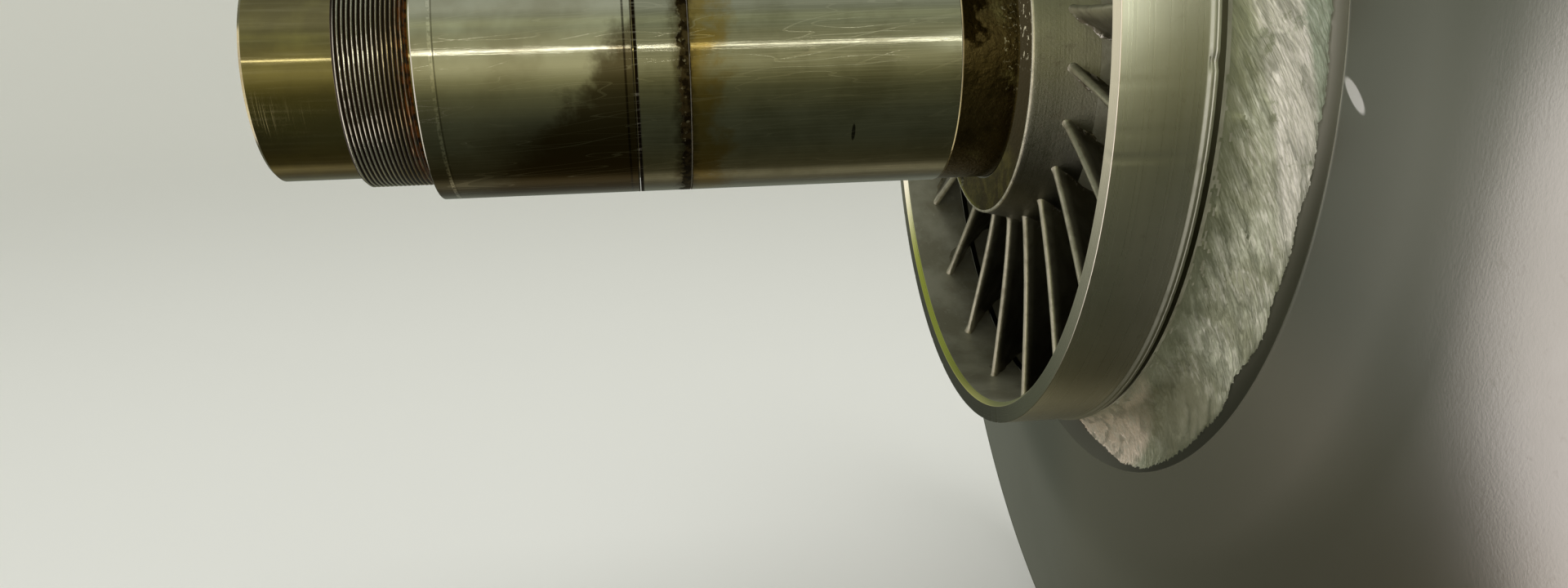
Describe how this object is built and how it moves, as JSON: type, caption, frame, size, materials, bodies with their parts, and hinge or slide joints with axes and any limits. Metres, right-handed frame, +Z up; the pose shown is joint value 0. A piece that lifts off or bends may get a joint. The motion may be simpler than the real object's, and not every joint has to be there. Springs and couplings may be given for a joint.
{
  "type": "centrifugal compressor rotor",
  "caption": "Centrifugal compressor rotor: closed impeller with an eye ring on a stepped, threaded shaft with slid-on sleeves on both sides.",
  "frame": {"origin": "centre of the shaft's left end face", "axes": "+X along the shaft towards the impeller, +Z up, the impeller's eye opens towards -X"},
  "size_m": [0.9, 0.8292, 0.8289],
  "materials": {
    "shaft_steel": "turned forged steel under a brown film of old oil, rusty at the thread",
    "sleeve_steel": "ground steel, scratched along its length, with brown oil stains",
    "impeller_steel": "dull dark blasted alloy steel, with a rough hand-ground band on the cover",
    "ring_steel": "fine-turned satin steel",
    "blade_steel": "milled alloy steel plate with bright weld ends"
  },
  "bodies": {
    "root": {"shaft": "shaft_steel", "left_spacer_sleeve": "sleeve_steel", "left_distance_ring": "sleeve_steel", "left_seal_sleeve": "sleeve_steel", "right_spacer_sleeve": "sleeve_steel", "right_distance_ring": "sleeve_steel", "right_seal_sleeve": "sleeve_steel", "hub_disc": "impeller_steel", "cover_disc": "impeller_steel", "eye_ring": "ring_steel", "blade_01": "blade_steel", "blade_02": "blade_steel", "blade_03": "blade_steel", "blade_04": "blade_steel", "blade_05": "blade_steel", "blade_06": "blade_steel", "blade_07": "blade_steel", "blade_08": "blade_steel", "blade_09": "blade_steel", "blade_10": "blade_steel", "blade_11": "blade_steel", "blade_12": "blade_steel", "blade_13": "blade_steel", "blade_14": "blade_steel", "blade_15": "blade_steel", "blade_16": "blade_steel", "blade_17": "blade_steel", "blade_18": "blade_steel", "blade_19": "blade_steel", "blade_20": "blade_steel", "blade_21": "blade_steel"}
  },
  "joints": []
}
